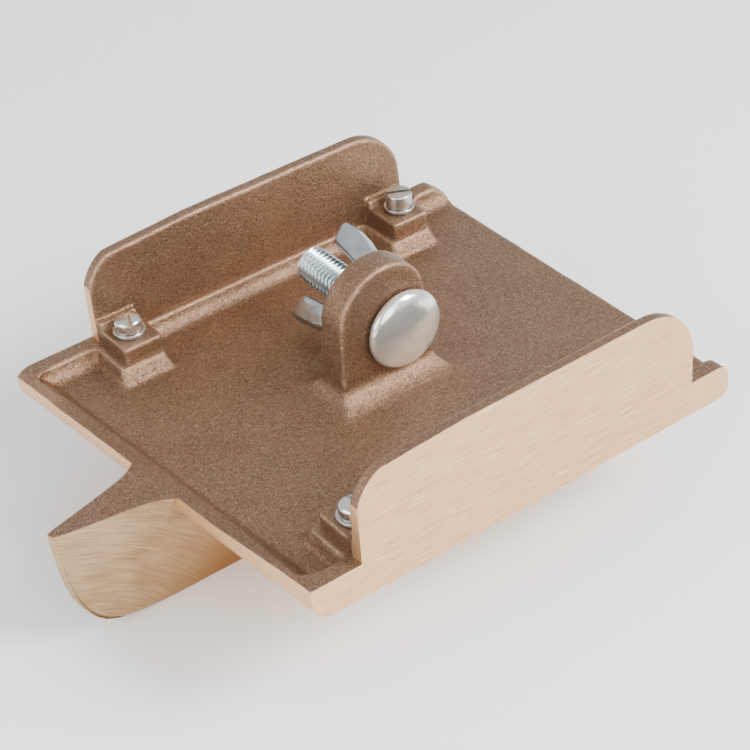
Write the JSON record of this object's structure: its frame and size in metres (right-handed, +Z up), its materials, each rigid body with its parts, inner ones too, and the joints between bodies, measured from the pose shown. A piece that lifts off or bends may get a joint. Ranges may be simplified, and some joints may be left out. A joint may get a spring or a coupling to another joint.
{
  "type": "walking concrete groover head",
  "caption": "Bronze walking groover head for concrete: a sole plate with a deep keel, bolted side curbs, and a lug clamped by a carriage bolt and wing nut.",
  "frame": {"origin": "middle of the outline across and along the tool, at the bottom of the keel", "axes": "+X across the tool, from the wing nut towards the bolt head; +Y along its travel, away from the prow; +Z up, square to the sole"},
  "size_m": [0.1524, 0.2098, 0.0879],
  "materials": {
    "cast_bronze": "sand-cast bronze, satin, ground bright on the working faces",
    "screw_steel": "satin machined steel",
    "washer_steel": "zinc plated spring steel",
    "zinc_plate": "bright zinc plate",
    "bright_plate": "bright plated forging"
  },
  "bodies": {
    "base": {"base_casting": "cast_bronze", "side_plate_left": "cast_bronze", "side_plate_right": "cast_bronze", "screw_front_left": "screw_steel", "screw_back_left": "screw_steel", "screw_front_right": "screw_steel", "screw_back_right": "screw_steel", "lock_washer_front_left": "washer_steel", "lock_washer_back_left": "washer_steel", "lock_washer_front_right": "washer_steel", "lock_washer_back_right": "washer_steel"},
    "bolt": {"carriage_bolt": "zinc_plate"},
    "nut": {"wing_nut": "bright_plate"}
  },
  "joints": [
    {"name": "wing_nut_turn", "type": "hinge", "parent": "base", "child": "nut", "pos_m": [-0.0063, 0.02645, 0.0629], "axis": [-1, 0, 0], "range_deg": [0, 4320]},
    {"name": "bolt_slide", "type": "slide", "parent": "base", "child": "bolt", "axis": [1, 0, 0], "range_m": [0, 0.02346]}
  ],
  "couplings": [
    {"joint": "bolt_slide", "follows": "wing_nut_turn", "m_per_rad": 0.00031096}
  ]
}
